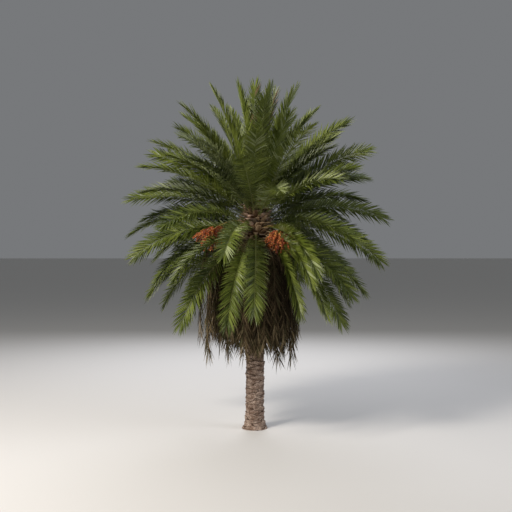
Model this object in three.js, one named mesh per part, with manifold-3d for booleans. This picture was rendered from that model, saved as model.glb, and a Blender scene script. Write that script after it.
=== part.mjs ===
// Date palm: a straight trunk, a heart of old leaf bases, a full crown of arching fronds and a
// skirt of dead fronds hanging under it. Millimetres, +Z up. The origin is the centre of the flat
// cut under the trunk, and the crown is laid out by bearing: 0 is +X, 90 is +Y, 270 is -Y.

import * as THREE from 'three';
import { mergeVertices } from 'three/addons/utils/BufferGeometryUtils.js';
import Module from 'manifold-3d';

// Driving sizes of the trunk and the heart of leaf bases on top of it.
const TRUNK_HEIGHT = 5100;
const TRUNK_RADIUS = 230;
const FOOT_RADIUS = 340;
const FLARE_HEIGHT = 420;
const TRUNK_SIDES = 20;
const TRUNK_TAPER = 12;
const LEAN = 35;
const HEART_TOP = 6180;
const HEART_TIP_RADIUS = 40;

// Seats of the fronds on the heart, from the lowest, oldest tier to the highest, youngest one.
const SEAT_LOW = 5160;
const SEAT_HIGH = 6100;
const SEAT_RADIUS = 330;
const SEAT_TOP_RADIUS = 130;
const SEAT_CLEARANCE = 14;

// A full-grown frond: a thin blade of its outline, bare stalk first, then the leaflets' width.
const FROND_LENGTH = 3400;
const YOUNG_RISE = 62;
const YOUNG_SHORTENING = 0.065;
const LENGTH_SPREAD = 0.025;
const BLADE_HALF_WIDTH = 275;
const STALK_HALF_WIDTH = 28;
const BLADE_THICKNESS = 14;
const FULL_DROOP = 50;
const FULL_DROOP_RISE = 10;
const DROOP_SPREAD = 0.1;
const SWAY = 8;
const LOOSE_TURN = 16;
const RIB_STEPS = 36;
const BLADE_STEPS = 9;

// Tiers of the crown from the spears down: rise of the stalks above level, turn of the blades
// about their ribs, bearings of the single fronds and of the twins, two fronds on one seat. Where
// a frond springs from another side of the heart than it points to, seats gives that bearing.
const TIERS = [
  { rise: 84, turn: 15, single: [40, 230, 265, 302], twin: [] },
  { rise: 76, turn: 12, single: [206, 322], twin: [110] },
  { rise: 68, turn: 12, single: [28], twin: [150] },
  { rise: 62, turn: 50, single: [214, 278], twin: [65] },
  { rise: 58, turn: 50, single: [350], twin: [] },
  { rise: 50, turn: 12, single: [176, 300], twin: [105] },
  { rise: 45, turn: 50, single: [356, 168, 235], twin: [55] },
  { rise: 36, turn: 25, single: [14, 210, 262], twin: [125] },
  { rise: 25, turn: 50, single: [36, 180, 282], twin: [90] },
  { rise: 19, turn: 45, single: [358], twin: [] },
  { rise: 13, turn: 25, single: [172, 228], twin: [60, 140] },
  { rise: 1, turn: 50, single: [192, 152, 346, 262], twin: [105], seats: { 262: 222 } },
  { rise: -4, turn: 20, single: [292], twin: [], seats: { 292: 325 } },
  { rise: -17, turn: 25, single: [169, 8, 322], twin: [70, 130] },
  { rise: -24, turn: 35, single: [158, 24, 302, 270], twin: [95], seats: { 302: 333 } },
  { rise: -32, turn: 45, single: [223, 252, 326], twin: [] },
];
const HIGHEST_RISE = TIERS[0].rise;
const LOWEST_RISE = TIERS[TIERS.length - 1].rise;
const TWIN_BEARING = 7;
const TWIN_RISE = 4.5;

// The skirt of dead fronds: a bell of six hanging masses round the trunk.
const SKIRT_NAMES = ['right_back', 'back', 'left_back', 'left_front', 'front', 'right_front'];
const SKIRT_FIRST_BEARING = 30;
const SKIRT_ARC = 57;
const SKIRT_TOP = 4880;
const SKIRT_BOTTOM = 1800;
const SKIRT_RADIUS = 1250;
const SKIRT_NECK = 330;
const SKIRT_BULGE = 0.56;
const SKIRT_DRAWN_IN = 0.28;
const SKIRT_UNEVENNESS = 0.05;
const SKIRT_RAGGEDNESS = 160;
const SKIRT_DEPTH = 420;
const SKIRT_ARC_STEPS = 4;
const SKIRT_DROP_STEPS = 6;

// Neighbours that would cross are cut back to this gap, and a rib that passes through another
// frond's blade gets a slot of this half width there.
const GAP = 0.4;
const SLOT = 34;

const FOLIAGE = new THREE.MeshStandardMaterial({ color: '#6f7a3c', roughness: 0.6, metalness: 0 });
const DEAD_FOLIAGE = new THREE.MeshStandardMaterial({ color: '#6b5a3c', roughness: 0.9, metalness: 0 });
const BARK = new THREE.MeshStandardMaterial({ color: '#8c7665', roughness: 0.9, metalness: 0 });
const LEAF_BASE = new THREE.MeshStandardMaterial({ color: '#5d4a33', roughness: 0.9, metalness: 0 });

const wasm = await Module();
wasm.setup();

// A repeatable value from -1 to 1 for frond number i, a different one for each trait k.
function vary(i, k) {
  const wave = Math.sin(i * 12.9898 + k * 78.233) * 43758.5453;
  return 2 * (wave - Math.floor(wave)) - 1;
}

function solidOf(geometry) {
  const bare = geometry.clone();
  bare.deleteAttribute('normal');
  bare.deleteAttribute('uv');
  const merged = mergeVertices(bare, 1e-3);
  return new wasm.Manifold(new wasm.Mesh({
    numProp: 3,
    vertProperties: new Float32Array(merged.attributes.position.array),
    triVerts: new Uint32Array(merged.index.array),
  }));
}

function meshOf(name, solid, material) {
  const { vertProperties, triVerts } = solid.getMesh();
  const geometry = new THREE.BufferGeometry();
  geometry.setAttribute('position', new THREE.BufferAttribute(vertProperties, 3));
  geometry.setIndex(new THREE.BufferAttribute(triVerts, 1));
  geometry.computeVertexNormals();
  const mesh = new THREE.Mesh(geometry, material);
  mesh.name = name;
  return mesh;
}

// Moves every vertex of a geometry to where place(vertex) says.
function reshape(geometry, place) {
  const position = geometry.attributes.position;
  const vertex = new THREE.Vector3();
  for (let i = 0; i < position.count; i += 1) {
    vertex.fromBufferAttribute(position, i);
    place(vertex);
    position.setXYZ(i, vertex.x, vertex.y, vertex.z);
  }
  return geometry;
}

// Turned about Z from a list of [radius, height], with the trunk's slight lean.
function turned(profile) {
  const points = profile.map(([radius, height]) => new THREE.Vector2(radius, height));
  const geometry = new THREE.LatheGeometry(points, TRUNK_SIDES).rotateX(Math.PI / 2);
  return reshape(geometry, (vertex) => {
    vertex.x += LEAN * Math.min(1, vertex.z / TRUNK_HEIGHT);
  });
}

// The trunk flares to its foot in a smooth curve, and tapers a little up to the heart.
function trunkRadius(height) {
  const flare = Math.exp(-3 * height / FLARE_HEIGHT);
  const taper = TRUNK_TAPER * height / TRUNK_HEIGHT;
  return TRUNK_RADIUS + (FOOT_RADIUS - TRUNK_RADIUS) * flare - taper;
}

function trunk() {
  const rows = [0, 60, 130, 220, 340, 520, 900, 1700, 2700, 3700, 4500, TRUNK_HEIGHT];
  const side = rows.map((height) => [trunkRadius(height), height]);
  return turned([[0, 0], ...side, [0, TRUNK_HEIGHT]]);
}

// Radius of the ring of seats at one height: full at the low tiers, drawn in at the top.
function seatRadius(height) {
  const up = (height - SEAT_LOW) / (SEAT_HIGH - SEAT_LOW);
  const drawnIn = THREE.MathUtils.clamp((up - 0.4) / 0.6, 0, 1);
  return SEAT_RADIUS - (SEAT_RADIUS - SEAT_TOP_RADIUS) * drawnIn;
}

function heart() {
  const foot = TRUNK_HEIGHT + GAP;
  const rows = [SEAT_LOW, 5380, 5590, 5760, 5930, SEAT_HIGH];
  const side = rows.map((height) => [seatRadius(height) - SEAT_CLEARANCE, height]);
  const base = [[0, foot], [trunkRadius(TRUNK_HEIGHT), foot]];
  return turned([...base, ...side, [HEART_TIP_RADIUS, HEART_TOP], [0, HEART_TOP]]);
}

// The rib of a frond: points and frames along a curve that leaves the seat at the tier's rise,
// sags the more the flatter it stands and sways a little sideways. The blade turns about the rib
// towards its outer half: single fronds turn one way right and left, twins away from each other.
function rib(frond) {
  const { bearing, rise, turn, mirror, seatBearing, seatRise, number } = frond;
  const young = Math.max(0, (rise - YOUNG_RISE) / (HIGHEST_RISE - YOUNG_RISE));
  const grown = FROND_LENGTH * (1 - YOUNG_SHORTENING * young);
  const length = grown * (1 + LENGTH_SPREAD * vary(number, 1));
  const flatness = Math.cos(THREE.MathUtils.degToRad(rise - FULL_DROOP_RISE));
  const droop = FULL_DROOP * flatness * (1 + DROOP_SPREAD * vary(number, 2));
  const sway = SWAY * vary(number, 3);
  const up = (seatRise - LOWEST_RISE) / (HIGHEST_RISE - LOWEST_RISE);
  const height = SEAT_LOW + (SEAT_HIGH - SEAT_LOW) * up;
  const seat = THREE.MathUtils.degToRad(seatBearing);
  const point = new THREE.Vector3(
    LEAN + seatRadius(height) * Math.cos(seat),
    seatRadius(height) * Math.sin(seat),
    height,
  );
  const stations = [];
  for (let i = 0; i <= RIB_STEPS; i += 1) {
    const along = i / RIB_STEPS;
    const pitch = THREE.MathUtils.degToRad(rise - droop * along ** 1.5);
    const heading = THREE.MathUtils.degToRad(bearing + sway * along);
    const twist = (mirror ? mirror * turn : turn * Math.cos(heading)) + LOOSE_TURN * vary(number, 6);
    const roll = THREE.MathUtils.degToRad(twist) * Math.min(1, 2 * along);
    const forward = new THREE.Vector3(
      Math.cos(pitch) * Math.cos(heading),
      Math.cos(pitch) * Math.sin(heading),
      Math.sin(pitch),
    );
    const level = new THREE.Vector3(-Math.sin(heading), Math.cos(heading), 0);
    const side = level.applyAxisAngle(forward, roll);
    const face = new THREE.Vector3().crossVectors(forward, side);
    stations.push({ point: point.clone(), side, face });
    point.addScaledVector(forward, length / RIB_STEPS);
  }
  return stations;
}

// Half the frond's width along it: the bare stalk opens to full width, then rounds to the tip.
function halfWidth(along) {
  const opening = THREE.MathUtils.smoothstep(along, 0.08, 0.42);
  const rounding = Math.sqrt(1 - along ** 5);
  return STALK_HALF_WIDTH + (BLADE_HALF_WIDTH - STALK_HALF_WIDTH) * opening * rounding;
}

// A closed strip along the rib through a four-cornered section at each step. Its two broad faces
// are split along matching diagonals, so that a strip that turns keeps its thickness.
function strip(frond, widthAt, thickness) {
  const stations = rib(frond);
  const corners = [];
  for (let step = 0; step <= BLADE_STEPS; step += 1) {
    const along = step / BLADE_STEPS;
    const { point, side, face } = stations[Math.round(along * RIB_STEPS)];
    for (const [across, above] of [[1, 1], [-1, 1], [-1, -1], [1, -1]]) {
      const corner = point.clone().addScaledVector(side, across * widthAt(along));
      corners.push(...corner.addScaledVector(face, above * thickness / 2).toArray());
    }
  }
  const index = [];
  const quad = (a, b, c, d) => index.push(a, b, c, a, c, d);
  const last = 4 * BLADE_STEPS;
  quad(0, 3, 2, 1);
  for (let a = 0; a < last; a += 4) {
    const b = a + 4;
    quad(a, a + 1, b + 1, b);
    quad(a + 3, b + 3, b + 2, a + 2);
    quad(a, b, b + 3, a + 3);
    quad(a + 1, a + 2, b + 2, b + 1);
  }
  quad(last, last + 1, last + 2, last + 3);
  const geometry = new THREE.BufferGeometry();
  geometry.setAttribute('position', new THREE.Float32BufferAttribute(corners, 3));
  geometry.setIndex(index);
  return solidOf(geometry);
}

const blade = (frond, margin) => strip(
  frond,
  (along) => halfWidth(along) + margin,
  BLADE_THICKNESS + 2 * margin,
);
const slot = (frond, margin) => strip(frond, () => SLOT - margin, 2 * (SLOT - margin));

// Each node of the crown is a single frond or a pair of twins on one seat.
function crownNodes() {
  const nodes = [];
  let number = 0;
  const frondAt = (tier, bearing, mirror) => {
    number += 1;
    return {
      number,
      mirror,
      bearing: bearing + mirror * TWIN_BEARING,
      rise: tier.rise - mirror * TWIN_RISE,
      turn: tier.turn,
      seatBearing: tier.seats?.[bearing] ?? bearing,
      seatRise: tier.rise,
    };
  };
  const numbered = (kind) => {
    const count = nodes.filter((node) => node.name.startsWith(kind)).length + 1;
    return `${kind}_${String(count).padStart(2, '0')}`;
  };
  for (const tier of TIERS) {
    for (const bearing of tier.single) {
      nodes.push({ name: numbered('frond'), fronds: [frondAt(tier, bearing, 0)] });
    }
    for (const bearing of tier.twin) {
      const pair = [frondAt(tier, bearing, -1), frondAt(tier, bearing, 1)];
      nodes.push({ name: numbered('twin_fronds'), fronds: pair });
    }
  }
  return nodes;
}

// One dead mass: a slab of the bell, from its neck under the heart out and down to a ragged hem.
function skirtMass(index) {
  const middle = SKIRT_FIRST_BEARING + index * 360 / SKIRT_NAMES.length;
  const bottom = SKIRT_BOTTOM + SKIRT_RAGGEDNESS * vary(index, 4);
  const geometry = new THREE.BoxGeometry(1, 1, 1, SKIRT_ARC_STEPS, 1, SKIRT_DROP_STEPS);
  return solidOf(reshape(geometry, (vertex) => {
    const down = 0.5 - vertex.z;
    const depth = SKIRT_DEPTH * (0.25 + 0.75 * THREE.MathUtils.smoothstep(down, 0, 0.3));
    const outward = Math.sin(Math.PI * Math.min(SKIRT_BULGE, 0.95 * down));
    const inward = 1 - SKIRT_DRAWN_IN * THREE.MathUtils.smoothstep(down, 0.6, 1);
    const bell = (SKIRT_NECK + (SKIRT_RADIUS - SKIRT_NECK) * outward) * inward;
    const column = Math.round(vertex.x * SKIRT_ARC_STEPS) + 10 * index;
    const uneven = 1 + SKIRT_UNEVENNESS * vary(column, 5) * down;
    const radius = (bell + Math.sign(vertex.y) * depth / 2) * uneven;
    const heading = THREE.MathUtils.degToRad(middle - vertex.x * SKIRT_ARC);
    const height = SKIRT_TOP + (bottom - SKIRT_TOP) * down;
    vertex.set(LEAN + radius * Math.cos(heading), radius * Math.sin(heading), height);
  }));
}

// The largest of the pieces that a cut leaves.
function mainPiece(solid) {
  const pieces = solid.decompose();
  return pieces.reduce((best, piece) => (piece.volume() > best.volume() ? piece : best));
}

function near(a, b) {
  const first = a.boundingBox();
  const second = b.boundingBox();
  return [0, 1, 2].every((axis) => first.min[axis] <= second.max[axis] && second.min[axis] <= first.max[axis]);
}

// Slots every node's blades where other nodes' ribs pass, joins twins, and then cuts each node
// clear of the ones before it. The widened copies keep the gap.
function cutCrown(nodes) {
  const shaped = nodes.map((node) => [0, GAP].map((margin) => {
    const blades = node.fronds.map((frond) => blade(frond, margin));
    return blades.reduce((joined, next) => joined.add(next));
  }));
  const slots = nodes.map((node) => [0, GAP].map((margin) => {
    const passages = node.fronds.map((frond) => slot(frond, margin));
    return passages.reduce((joined, next) => joined.add(next));
  }));
  const slotted = shaped.map((copies, index) => copies.map((copy, wide) => {
    const others = slots.filter((passage, other) => other !== index && near(copy, passage[wide]));
    return others.reduce((left, passage) => left.subtract(passage[wide]), copy);
  }));
  const finished = [];
  slotted.forEach(([body], index) => {
    const earlier = slotted.slice(0, index).filter(([, widened]) => near(body, widened));
    finished.push(mainPiece(earlier.reduce((left, [, widened]) => left.subtract(widened), body)));
  });
  return { finished, widened: slotted.map((copies) => copies[1]) };
}

const palm = new THREE.Group();
palm.name = 'date_palm';
palm.add(meshOf('trunk', solidOf(trunk()), BARK));
palm.add(meshOf('crown_heart', solidOf(heart()), LEAF_BASE));

const nodes = crownNodes();
const crown = new THREE.Group();
const { finished, widened } = cutCrown(nodes);
finished.forEach((solid, index) => crown.add(meshOf(nodes[index].name, solid, FOLIAGE)));
palm.add(crown);

const skirt = new THREE.Group();
SKIRT_NAMES.forEach((name, index) => {
  const mass = skirtMass(index);
  const crossing = widened.filter((frond) => near(mass, frond));
  const cleared = crossing.reduce((left, frond) => left.subtract(frond), mass);
  skirt.add(meshOf(`dead_fronds_${name}`, mainPiece(cleared), DEAD_FOLIAGE));
});
palm.add(skirt);

export default palm;
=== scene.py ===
"""The looks of a date palm: ringed stem, heart of old leaf bases, green crown, fruit and dead skirt."""

import math

import bpy
import numpy as np
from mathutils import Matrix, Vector, noise


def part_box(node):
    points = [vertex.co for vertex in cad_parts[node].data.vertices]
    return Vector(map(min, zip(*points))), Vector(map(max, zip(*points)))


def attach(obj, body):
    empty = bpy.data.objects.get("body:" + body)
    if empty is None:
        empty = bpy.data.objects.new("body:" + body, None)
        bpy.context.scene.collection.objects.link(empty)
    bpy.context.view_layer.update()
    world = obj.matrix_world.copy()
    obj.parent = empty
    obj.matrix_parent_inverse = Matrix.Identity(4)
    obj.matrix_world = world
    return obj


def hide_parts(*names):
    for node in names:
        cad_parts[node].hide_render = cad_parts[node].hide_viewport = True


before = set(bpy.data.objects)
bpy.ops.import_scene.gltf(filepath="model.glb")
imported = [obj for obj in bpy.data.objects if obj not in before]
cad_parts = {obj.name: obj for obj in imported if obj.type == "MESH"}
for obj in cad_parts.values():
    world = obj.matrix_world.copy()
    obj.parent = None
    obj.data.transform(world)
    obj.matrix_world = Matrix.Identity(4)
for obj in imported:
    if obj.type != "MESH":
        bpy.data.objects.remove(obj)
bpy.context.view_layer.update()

# -----------------------------------------------------------------------------
# The place. The palm stands on a plain pale floor under a broad soft light from the upper left,
# and is seen level, from half its height, as a person on a first floor would see it.
# -----------------------------------------------------------------------------

VIEW_DISTANCE = 21.0
VIEW_HEIGHT = 4.61
VIEW_LENS = 55.05
FLOOR_WIDTH = 3000.0


def linear(hex_colour):
    """An sRGB colour such as "#6f7a3c" as linear red, green, blue and alpha."""
    parts = [int(hex_colour[i:i + 2], 16) / 255 for i in (1, 3, 5)]
    return [p / 12.92 if p <= 0.04045 else ((p + 0.055) / 1.055) ** 2.4 for p in parts] + [1.0]


def plain_material(name, colour, roughness, specular=0.5):
    """One even finish: a lone shader with its colour on its own socket."""
    material = bpy.data.materials.new(name)
    material.use_nodes = True
    shader = material.node_tree.nodes["Principled BSDF"]
    shader.inputs["Base Color"].default_value = linear(colour)
    shader.inputs["Roughness"].default_value = roughness
    shader.inputs["Specular IOR Level"].default_value = specular
    return material


bpy.ops.object.select_all(action="DESELECT")
bpy.ops.mesh.primitive_plane_add(size=FLOOR_WIDTH, location=(0, 0, 0))
floor = bpy.context.object
floor.name = "floor"
floor.data.materials.append(plain_material("matt pale floor", "#d6d4d0", 0.9, 0.2))

bpy.ops.object.camera_add(location=(0.035, -VIEW_DISTANCE, VIEW_HEIGHT), rotation=(math.pi / 2, 0, 0))
camera = bpy.context.object
camera.data.lens = VIEW_LENS
camera.data.clip_end = 2 * FLOOR_WIDTH
bpy.context.scene.camera = camera

for light_name, place, size, power, colour in (
    ("soft key light", (-13.0, -13.5, 18.0), 6.0, 6000.0, "#fff8f0"),
    ("soft side light", (16.0, -6.0, 13.0), 10.0, 1000.0, "#eef3ff"),
    ("soft back light", (0.0, 18.0, 16.0), 10.0, 2600.0, "#f4f6ff"),
):
    bpy.ops.object.light_add(type="AREA", location=place)
    lamp = bpy.context.object
    lamp.name = light_name
    lamp.data.size = size
    lamp.data.energy = power
    lamp.data.color = linear(colour)[:3]
    lamp.rotation_euler = (Vector((0, 0, 5)) - Vector(place)).to_track_quat("-Z", "Y").to_euler()

world = bpy.data.worlds.new("pale room")
bpy.context.scene.world = world
world.use_nodes = True
world.node_tree.nodes["Background"].inputs["Color"].default_value = linear("#dfe2e6")
world.node_tree.nodes["Background"].inputs["Strength"].default_value = 0.25
bpy.context.scene.view_settings.view_transform = "Standard"

# -----------------------------------------------------------------------------
# The stem: fibrous all through, with no bark of its own. What shows is the weathered stumps of
# its old leaves in a close spiral, each as broad as a hand is long, with its upper edge proud and
# a groove round it, painted dark brown as shade, and the stem is painted darker still high up as the
# shade under the skirt. It flares at the foot, where the stumps give way to a mat of fibre.
# -----------------------------------------------------------------------------

TRUNK_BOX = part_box("trunk")
TRUNK_HEIGHT = TRUNK_BOX[1][2]
TRUNK_RADIUS = 0.230
FOOT_RADIUS = 0.340
FLARE_HEIGHT = 0.42
TRUNK_LEAN = 0.035
TRUNK_COLUMNS = 140
TRUNK_ROWS = 560
SCAR_WIDTH = 0.46
SCAR_HEIGHT = 0.098
SCAR_RISE = SCAR_WIDTH * SCAR_HEIGHT / (2 * math.pi * TRUNK_RADIUS)
SCAR_LIP = 0.042
SCAR_WANDER = 0.30
SCAR_DIP = 0.026
SCAR_SLANT = 0.30
SCAR_SQUARENESS = 1.5
CREASE_SHARE = 0.5
# Painted shade in the creases: how dark they are painted, and from what depth.
CREASE_PAINTED_SHADE = 1.6
CREASE_PAINTED_SHADE_START = 0.35
# Painted shade under the skirt: the stem is painted darker from this height up.
SKIRT_SHADE_HEIGHT = 1.75
SKIRT_SHADE_FADE = 0.4
SKIRT_PAINTED_SHADE = 0.40
STEM_TAPER = 0.012
LUMP_DEPTH = 0.011
FRAY_DEPTH = 0.008
MAT_HEIGHT = 0.22
MAT_DEPTH = 0.020
GOLDEN_ANGLE = 137.508
GOLDEN_TURN = math.radians(GOLDEN_ANGLE)


def node(tree, kind, settings=None, links=None):
    """Adds a node with its settings (properties or socket values) and its incoming links."""
    new = tree.nodes.new(kind)
    for key, value in (settings or {}).items():
        if isinstance(key, str) and hasattr(new, key):
            setattr(new, key, value)
        else:
            new.inputs[key].default_value = value
    for key, source in (links or {}).items():
        tree.links.new(source, new.inputs[key])
    return new


def trunk_radius(height):
    flare = np.exp(-3 * height / FLARE_HEIGHT)
    return TRUNK_RADIUS + (FOOT_RADIUS - TRUNK_RADIUS) * flare - STEM_TAPER * height / TRUNK_HEIGHT


def rough(points, size):
    """Roughness from -1 to 1 at each point, in lumps of about the given size in metres."""
    return np.array([noise.fractal(Vector(point) / size, 1.0, 2.0, 3) for point in points])


def scar_relief(angle, height):
    """Lift of the leaf scar at each point, and 0 to 1 for how deep it lies in the groove between scars."""
    around = np.stack([np.cos(angle) * TRUNK_RADIUS, np.sin(angle) * TRUNK_RADIUS, height], 1)
    angle = angle + SCAR_WANDER * rough(around + 7.0, 0.16)
    height = height + SCAR_DIP * rough(around + 3.0, 0.11)
    nearest = np.full(angle.shape, 9.0)
    second = np.full(angle.shape, 9.0)
    above = np.zeros(angle.shape)
    proud = np.zeros(angle.shape)
    first = np.round(height / SCAR_RISE)
    for step in range(-9, 10):
        scar = first + step
        turn = (angle - scar * GOLDEN_TURN + math.pi) % (2 * math.pi) - math.pi
        across = turn * TRUNK_RADIUS / (SCAR_WIDTH / 2)
        up = (height - scar * SCAR_RISE) / (SCAR_HEIGHT / 2) + SCAR_SLANT * np.sin(scar * 7.3) * across
        off = np.abs(across) ** SCAR_SQUARENESS + np.abs(up) ** SCAR_SQUARENESS
        off = off * (1 + 0.18 * np.sin(scar * 4.7))
        closer = off < nearest
        second = np.where(closer, nearest, np.minimum(second, off))
        nearest = np.where(closer, off, nearest)
        above = np.where(closer, up, above)
        proud = np.where(closer, 0.72 + 0.28 * np.sin(scar * 2.9), proud)
    edge = np.clip((second - nearest) / CREASE_SHARE, 0, 1)
    plate = edge * edge * (3 - 2 * edge)
    return SCAR_LIP * proud * plate * (0.55 + 0.45 * np.clip(above, -1, 1)), 1 - plate


def rolled_sheet(name, columns, rows, low, high, shape):
    """A grid rolled into a closed stem: shape(angle, height) gives its radius and its x shift."""
    bpy.ops.object.select_all(action="DESELECT")
    bpy.ops.mesh.primitive_grid_add(x_subdivisions=columns, y_subdivisions=rows, size=1)
    stem = bpy.context.object
    stem.name = name
    flat = np.empty(3 * len(stem.data.vertices), np.float32)
    stem.data.vertices.foreach_get("co", flat)
    flat = flat.reshape(-1, 3).astype(float)
    angle = (flat[:, 0] + 0.5) * 2 * math.pi
    height = low + (high - low) * (flat[:, 1] + 0.5)
    radius, shift = shape(angle, height)
    rolled = np.stack([shift + radius * np.cos(angle), radius * np.sin(angle), height], 1)
    stem.data.vertices.foreach_set("co", rolled.astype(np.float32).ravel())
    bpy.ops.object.mode_set(mode="EDIT")
    bpy.ops.mesh.select_all(action="SELECT")
    bpy.ops.mesh.remove_doubles(threshold=0.0005)
    bpy.ops.mesh.select_all(action="DESELECT")
    bpy.ops.mesh.select_mode(type="EDGE")
    bpy.ops.mesh.select_non_manifold()
    bpy.ops.mesh.edge_face_add()
    bpy.ops.mesh.select_all(action="SELECT")
    bpy.ops.mesh.normals_make_consistent(inside=False)
    bpy.ops.object.mode_set(mode="OBJECT")
    return stem


def trunk_shape(angle, height):
    radius = trunk_radius(height)
    lift, _ = scar_relief(angle, height)
    around = np.stack([np.cos(angle) * radius, np.sin(angle) * radius, height * 1.4], 1)
    fibre = rough(around, 0.09) * LUMP_DEPTH + rough(around, 0.030) * FRAY_DEPTH
    foot = np.clip(1 - height / MAT_HEIGHT, 0, 1)
    mat = rough(around * (1, 1, 0.4), 0.07) * MAT_DEPTH * foot
    return radius - 0.003 + lift * (1 - 0.5 * foot) + fibre + mat, TRUNK_LEAN * height / TRUNK_HEIGHT


trunk = rolled_sheet("stem", TRUNK_COLUMNS, TRUNK_ROWS, 0.0, TRUNK_HEIGHT, trunk_shape)


def paint(piece, layer_name, value_at):
    """Stores a value from 0 to 1 at each point of a mesh, from its angle round the stem and height."""
    layer = piece.data.attributes.new(layer_name, "FLOAT", "POINT")
    points = np.empty(3 * len(piece.data.vertices), np.float32)
    piece.data.vertices.foreach_get("co", points)
    x, y, z = points.reshape(-1, 3).astype(float).T
    angle = np.arctan2(y, x - TRUNK_LEAN * z / TRUNK_HEIGHT) % (2 * math.pi)
    layer.data.foreach_set("value", np.clip(value_at(angle, z), 0, 1).astype(np.float32))


def weathered_palm_stem():
    """Weathered palm stem: matt pinkish tan on the raised scars, with dark brown painted shade down in the
    creases and on the upper stem under the skirt.
    """
    material = bpy.data.materials.new("weathered palm stem")
    material.use_nodes = True
    tree = material.node_tree
    shader = tree.nodes["Principled BSDF"]
    shader.inputs["Roughness"].default_value = 0.9
    shader.inputs["Specular IOR Level"].default_value = 0.2
    place = node(tree, "ShaderNodeTexCoord").outputs["Object"]
    # Sun bleaching comes in blotches about 120 mm across, fibre in flecks about 12 mm.
    blotches = node(tree, "ShaderNodeTexNoise", {"Scale": 8.0, "Detail": 4.0}, {"Vector": place})
    upright = node(tree, "ShaderNodeMapping", {"Scale": (1.0, 1.0, 0.4)}, {"Vector": place})
    flecks = node(tree, "ShaderNodeTexNoise", {"Scale": 80.0, "Detail": 4.0},
                  {"Vector": upright.outputs["Vector"]})
    tan = node(tree, "ShaderNodeValToRGB", links={"Fac": blotches.outputs["Fac"]})
    tan.color_ramp.elements[0].position = 0.36
    tan.color_ramp.elements[0].color = linear("#9d8473")
    tan.color_ramp.elements[1].position = 0.64
    tan.color_ramp.elements[1].color = linear("#d2bdad")
    pale = node(tree, "ShaderNodeValToRGB", links={"Fac": flecks.outputs["Fac"]})
    pale.color_ramp.elements[0].position = 0.34
    pale.color_ramp.elements[0].color = linear("#84766c")
    pale.color_ramp.elements[1].position = 0.66
    pale.color_ramp.elements[1].color = linear("#ffffff")
    flecked = node(tree, "ShaderNodeMix", {"data_type": "RGBA", "blend_type": "MULTIPLY", 0: 1.0},
                   {6: tan.outputs["Color"], 7: pale.outputs["Color"]})
    # Painted shade: dark brown is mixed in where the creases and the upper stem under the skirt are
    # painted as shaded.
    crease = node(tree, "ShaderNodeAttribute", {"attribute_name": "crease"})
    painted_shade_mix = node(tree, "ShaderNodeMix", {"data_type": "RGBA", 7: linear("#38261a")},
                   {0: crease.outputs["Fac"], 6: flecked.outputs[2]})
    tree.links.new(painted_shade_mix.outputs[2], shader.inputs["Base Color"])
    bump = node(tree, "ShaderNodeBump", {"Strength": 0.6, "Distance": 0.006},
                {"Height": flecks.outputs["Fac"]})
    tree.links.new(bump.outputs["Normal"], shader.inputs["Normal"])
    return material


def painted_crease_and_skirt_shade(angle, height):
    """Painted shade: dark down in the creases, and darker all over high up, as the shade under the skirt.
    """
    under_skirt_shade = np.clip((height - SKIRT_SHADE_HEIGHT) / SKIRT_SHADE_FADE, 0, 1)
    return CREASE_PAINTED_SHADE * scar_relief(angle, height)[1] - CREASE_PAINTED_SHADE_START + SKIRT_PAINTED_SHADE * under_skirt_shade


# Painted shade: the creases and the upper stem under the skirt are stored here to be painted dark.
paint(trunk, "crease", painted_crease_and_skirt_shade)
trunk.data.materials.append(weathered_palm_stem())
bpy.ops.object.shade_smooth()
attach(trunk, "root")
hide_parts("trunk")

# -----------------------------------------------------------------------------
# The heart: the swollen top of the stem, hidden under the stubs of the newest cut leaves. Each
# stub is the broad base of a leaf stalk, sawn off, and brown fibre is matted between them.
# -----------------------------------------------------------------------------

SEAT_LOW = 5.16
SEAT_HIGH = 6.10
SEAT_RADIUS = 0.330
SEAT_TOP_RADIUS = 0.130
HEART_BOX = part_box("crown_heart")
STUB_COUNT = 170
STUB_FIRST = 4.66
STUB_LAST = 6.00
STUB_WIDTHS = (0.11, 0.18)
STUB_LENGTHS = (0.17, 0.31)
STUB_THICKNESSES = (0.030, 0.048)
STUB_PITCHES = (-4, 44)
STUB_ROOTING = 0.085
LONE_STUB_HEIGHT = 1.80
LONE_STUB_BEARING = math.radians(186)
LONE_STUB_SIZE = (0.07, 0.11, 0.03)
LONE_STUB_ROOTING = 0.03
HEART_INSET = 0.05
HEART_ROUGHNESS = 0.02


def seat_radius(height):
    up = (height - SEAT_LOW) / (SEAT_HIGH - SEAT_LOW)
    return SEAT_RADIUS - (SEAT_RADIUS - SEAT_TOP_RADIUS) * np.clip((up - 0.4) / 0.6, 0, 1)


def heart_shape(angle, height):
    low, high = HEART_BOX[0][2], HEART_BOX[1][2]
    opened = np.clip((height - low) / (SEAT_LOW - low), 0, 1)
    swell = trunk_radius(height) + (seat_radius(height) - HEART_INSET - trunk_radius(height)) * opened
    closing = np.sqrt(np.clip((high - height) / (high - SEAT_HIGH), 0, 1))
    radius = swell * closing + 0.004
    around = np.stack([np.cos(angle) * radius, np.sin(angle) * radius, height * 0.5], 1)
    return radius + closing * rough(around, 0.04) * HEART_ROUGHNESS, TRUNK_LEAN


heart = rolled_sheet("heart_fibre", 96, 120, HEART_BOX[0][2], HEART_BOX[1][2], heart_shape)


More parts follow.
